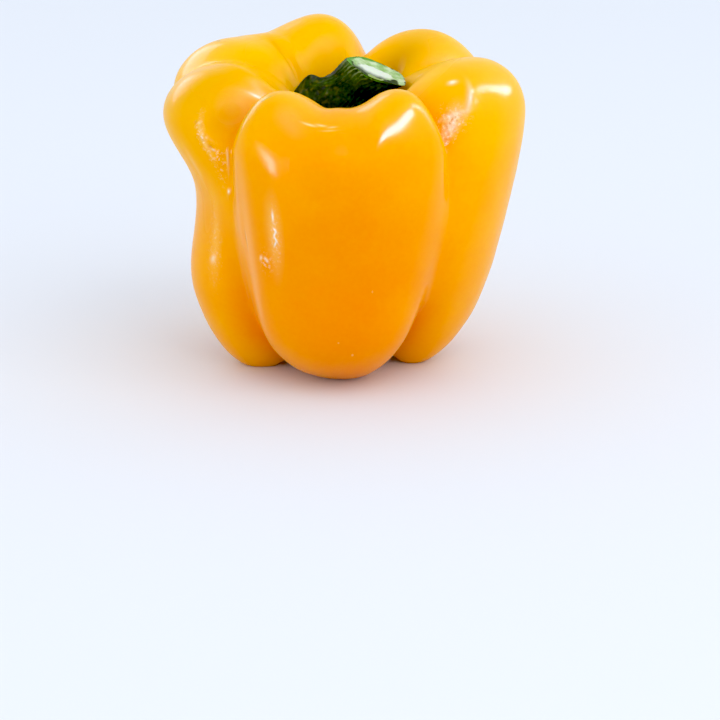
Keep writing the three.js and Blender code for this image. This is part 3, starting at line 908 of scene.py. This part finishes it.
# The parts of the cut at one place: pale flesh, whiter pith, the dark crack in front of it, the bright
# green rind round its back, and the ragged lip that hangs over the bark.
def cutMarks(a, b):
    ragged = noise.noise(Vector((a * 3.5, b * 3.5, 0))) + 0.5 * noise.noise(Vector((a * 9, b * 9, 5)))
    middle = cutFace["pithMiddle"]
    half = cutFace["pithHalf"]
    pithEdge = math.hypot((a - middle[0]) / half[0], (b - middle[1]) / half[1])
    pithEdge += cutFace["pithRagged"] * ragged
    front = smooth(clamp((0.05 - b) / 0.2))
    broken = 0.45 * smooth(clamp(0.5 + ragged * 2)) * smooth(clamp((0.1 - a) / 0.3))
    crackEnd, crackFades = cutFace["crackEnd"]
    crack = clamp(1.5 * hill(pithEdge - cutFace["crackAt"], mix(*cutFace["crackWidth"], front)))
    crack *= mix(broken, 1.0, front) * smooth(clamp((crackEnd - a) / crackFades))
    border = cutFace["borderStart"]
    for start, length, level in cutFace["borderSteps"]:
        border = mix(border, level, smooth(clamp((a - start) / length)))
    border += cutFace["borderRagged"] * ragged
    flesh = smooth(clamp((b - border) / 0.07))
    rind = smooth(clamp((math.hypot(a, b) - cutFace["rindFrom"] + 0.1 * ragged) / 0.1))
    return {
        "flesh": flesh,
        "rind": rind * smooth(clamp((0.45 - a) / 0.5)),
        "lip": 0.85 * smooth(clamp((cutFace["lipBelow"] - b) / 0.08)) * flesh,
        "pith": smooth(clamp((1.04 - pithEdge) / 0.14)),
        "crack": crack,
    }


def cutLift(a, b, marks):
    start, steepness = stemShape["bevel"]
    bevel = clamp(-b - start) * steepness * clamp((0.75 - a) / 0.3)
    roughness = cutFace["roughLift"] * noise.noise(Vector((a * 8, b * 8, 9)))
    relief = cutFace["pithLift"] * marks["pith"] - cutFace["crackDepth"] * marks["crack"]
    return relief - bevel + roughness


# The stem's colours and patterns. Sizes and heights are in mm.
barkFinish = {
    "darkest": "#202C12",
    "middle": "#384C12",
    "lightest": "#6E8A34",
    "blotchSize": 2.4,
    # painted shade: the bark is painted darker towards the bottom, where the fruit's rim shades it
    "darkBelow": 66,              # the bark grows darker from one height down to the other, by a share
    "lightAbove": 77,
    "shadeDarkening": -0.20,
    "grainSize": 0.5,
    "grainDepth": 0.12,
    "roughness": 0.55,
    "fleshDark": "#8FB566",
    "fleshLight": "#C9DCAE",
    "streak": "#8E9F63",
    "rind": "#5E9A2C",
    "lip": "#8FA34C",
    "pith": "#DCE5D2",
    "crack": "#241A08",
    "cork": "#7E7426",
}


# Dull green bark of the calyx and stalk, grown in ribs and fine lengthways cords, with brown corky
# specks, and pale wet flesh and pith where it was cut.
def makeStemBark():
    material, tree = startMaterial("dull_green_stem_bark")
    place = addNode(tree, "ShaderNodeTexCoord")
    blotch = addNode(tree, "ShaderNodeTexNoise", {}, {
        "Vector": place.outputs["Object"], "Scale": 1 / (barkFinish["blotchSize"] * mm),
        "Detail": 5.0, "Roughness": 0.65})
    height = addNode(tree, "ShaderNodeSeparateXYZ", {}, {"Vector": place.outputs["Object"]})
    # painted shade: darker bark low down, in the hollow under the fruit's rim
    raised = addNode(tree, "ShaderNodeMapRange", {}, {
        "Value": height.outputs["Z"],
        "From Min": barkFinish["darkBelow"] * mm, "From Max": barkFinish["lightAbove"] * mm,
        "To Min": barkFinish["shadeDarkening"], "To Max": 0.0})
    lightness = addNode(tree, "ShaderNodeMath", {"operation": "ADD", "use_clamp": True}, {
        0: blotch.outputs["Fac"], 1: raised.outputs[0]})
    bark = addNode(tree, "ShaderNodeValToRGB", {}, {"Fac": lightness.outputs[0]})
    ramp = bark.color_ramp
    ramp.elements[0].position = 0.30
    ramp.elements[0].color = linear(barkFinish["darkest"])
    ramp.elements[1].position = 0.80
    ramp.elements[1].color = linear(barkFinish["lightest"])
    ramp.elements.new(0.52).color = linear(barkFinish["middle"])
    pale = addNode(tree, "ShaderNodeValToRGB", {}, {"Fac": blotch.outputs["Fac"]})
    ramp = pale.color_ramp
    ramp.elements[0].position = 0.35
    ramp.elements[0].color = linear(barkFinish["fleshDark"])
    ramp.elements[1].position = 0.62
    ramp.elements[1].color = linear(barkFinish["fleshLight"])
    colour = bark.outputs["Color"]
    for name in ("streak", "flesh", "rind", "lip", "pith", "crack", "cork"):
        tint = pale.outputs["Color"] if name == "flesh" else linear(barkFinish[name])
        mask = addNode(tree, "ShaderNodeAttribute", {"attribute_name": name})
        over = addNode(tree, "ShaderNodeMix", {"data_type": "RGBA"}, {
            0: mask.outputs["Fac"], 6: colour, 7: tint})
        colour = over.outputs[2]
    grain = addNode(tree, "ShaderNodeTexNoise", {}, {
        "Vector": place.outputs["Object"], "Scale": 1 / (barkFinish["grainSize"] * mm), "Detail": 3.0})
    bump = addNode(tree, "ShaderNodeBump", {}, {
        "Height": grain.outputs["Fac"], "Strength": 0.7, "Distance": barkFinish["grainDepth"] * mm})
    shader = addNode(tree, "ShaderNodeBsdfPrincipled", {}, {
        "Base Color": colour,
        "Normal": bump.outputs["Normal"],
        "Roughness": barkFinish["roughness"],
        "IOR": 1.4,
        "Specular IOR Level": 0.14,
        "Subsurface Weight": 0.1,
        "Subsurface Radius": (0.3, 0.6, 0.1),
        "Subsurface Scale": 1 * mm,
    })
    addNode(tree, "ShaderNodeOutputMaterial", {}, {"Surface": shader.outputs[0]})
    return material


# The frame has the middle of the fruit's box at its origin.
def shiftToMiddle(shapes, fruit):
    xs = [vert.co.x for vert in fruit.verts]
    ys = [vert.co.y for vert in fruit.verts]
    middle = Vector(((min(xs) + max(xs)) / 2, (min(ys) + max(ys)) / 2, 0))
    for bm in shapes:
        bmesh.ops.translate(bm, vec=-middle, verts=bm.verts)


studio = {
    "floorColour": "#E6E8EB",
    "floorHalf": 4000.0,
    "lightsAimAt": 45.0,          # a height, in mm
    "roomColour": "#E8EFF9",
    "roomGlow": 1.16,
    "blackLevel": 0.026,          # a little contrast, as in the photograph
}


# Matt paper, so it mirrors nothing and shows only the soft shadow.
def makeFloor():
    material, tree = startMaterial("matte_white_studio_paper")
    shader = addNode(tree, "ShaderNodeBsdfPrincipled", {}, {
        "Base Color": linear(studio["floorColour"]), "Roughness": 0.9, "IOR": 1.2})
    addNode(tree, "ShaderNodeOutputMaterial", {}, {"Surface": shader.outputs[0]})
    bm = bmesh.new()
    bmesh.ops.create_grid(bm, x_segments=1, y_segments=1, size=studio["floorHalf"] * mm)
    mesh = bpy.data.meshes.new("studio_floor")
    bm.to_mesh(mesh)
    bm.free()
    mesh.materials.append(material)
    floor = bpy.data.objects.new("studio_floor", mesh)
    bpy.context.scene.collection.objects.link(floor)


# Each light: azimuth from the viewer towards the right, elevation, then distance, width and height in
# metres, roll of the width away from level, how bright its face is, its colour, and whether it lights
# the surface or only shows in the gloss.
studioLights = {
    "softKey": (45, 40, 1.2, 1.00, 1.00, 0, 1.05, "#FFFFFF", "surface"),
    "softFill": (-62, 3, 1.2, 1.00, 0.80, 0, 0.95, "#FFFFFF", "surface"),
    "softLow": (62, 3, 1.2, 1.20, 0.50, 0, 0.98, "#FFFFFF", "surface"),
    "window": (38, 60, 0.9, 0.28, 0.15, 0, 72.0, "#F4D6FF", "gloss"),
    "windowRight": (106, 46, 0.9, 0.95, 0.13, -60, 30.0, "#F4D2FF", "gloss"),
    "windowLeft": (-37, 1, 0.8, 0.13, 0.31, 0, 22.0, "#F4E2FF", "gloss"),
    "windowLeftGlow": (-39, -3, 0.82, 0.24, 0.76, 0, 5.0, "#F4E2FF", "gloss"),
    "paleWallLeft": (-142, 26, 1.0, 0.60, 0.50, 0, 3.6, "#F4DCFF", "gloss"),
}


def makeLights():
    for name, sizes in studioLights.items():
        azimuth, elevation, distance, width, height, roll, glow, tint, use = sizes
        light = bpy.data.lights.new(name, "AREA")
        light.shape = "RECTANGLE"
        light.size = width
        light.size_y = height
        light.energy = glow * math.pi * width * height
        light.color = linear(tint)[:3]
        lamp = bpy.data.objects.new(name, light)
        turn = math.radians(azimuth)
        rise = math.radians(elevation)
        toLight = Vector((math.sin(turn) * math.cos(rise), -math.cos(turn) * math.cos(rise), math.sin(rise)))
        lamp.location = Vector((0, 0, studio["lightsAimAt"] * mm)) + toLight * distance
        facing = toLight.to_track_quat("Z", "Y") @ Quaternion((0, 0, 1), math.radians(roll))
        lamp.rotation_euler = facing.to_euler()
        lamp.visible_camera = False
        lamp.visible_diffuse = use == "surface"
        lamp.visible_glossy = use == "gloss"
        bpy.context.scene.collection.objects.link(lamp)
    world = bpy.data.worlds.new("pale_room")
    world.use_nodes = True
    background = world.node_tree.nodes["Background"]
    background.inputs["Color"].default_value = linear(studio["roomColour"])
    background.inputs["Strength"].default_value = studio["roomGlow"]
    bpy.context.scene.world = world


# Where the viewer stands, read from the photograph. Lengths are in mm.
cameraLook = {
    "distance": 620.0,
    "elevation": 15.0,
    "aim": (0.0, 0.0, 40.0),      # the point that lands on aimPixel
    "aimPixel": (344.0, 202.0),
    "imageSize": 720.0,
    "pixelsPerMm": 4.0,           # at the aim point
    "sensor": 36.0,
    "clipEnd": 50000.0,
}


def makeCamera():
    focal = cameraLook["pixelsPerMm"] * cameraLook["distance"]
    half = cameraLook["imageSize"] / 2
    elevation = math.radians(cameraLook["elevation"])
    back = Vector((0, -math.cos(elevation), math.sin(elevation)))
    position = Vector(cameraLook["aim"]) + back * cameraLook["distance"]
    tilt = elevation + math.atan((half - cameraLook["aimPixel"][1]) / focal)
    yaw = -math.atan((cameraLook["aimPixel"][0] - half) / focal)
    forward = Vector((math.sin(yaw) * math.cos(tilt), math.cos(yaw) * math.cos(tilt), -math.sin(tilt)))
    lens = bpy.data.cameras.new("camera")
    lens.sensor_fit = "HORIZONTAL"
    lens.sensor_width = cameraLook["sensor"]
    lens.lens = focal / cameraLook["imageSize"] * cameraLook["sensor"]
    lens.clip_end = cameraLook["clipEnd"] * mm
    camera = bpy.data.objects.new("camera", lens)
    camera.location = position * mm
    camera.rotation_euler = forward.to_track_quat("-Z", "Y").to_euler()
    bpy.context.scene.collection.objects.link(camera)
    bpy.context.scene.camera = camera


makeCamera()
makeFloor()
makeLights()
scene = bpy.context.scene
scene.view_settings.view_transform = "Standard"
scene.view_settings.use_curve_mapping = True
scene.view_settings.curve_mapping.black_level = [studio["blackLevel"]] * 3
print("camera, floor and lights are ready")

skin = makeSkin()
bark = makeStemBark()
fruit = makeFruit()
stem = makeStem()
shiftToMiddle([fruit, stem], fruit)
finishPiece(fruit, "pepper_fruit", skin, "fruit")
print("fruit is ready")
finishPiece(stem, "pepper_stem", bark, "stem")
print("stem is ready")
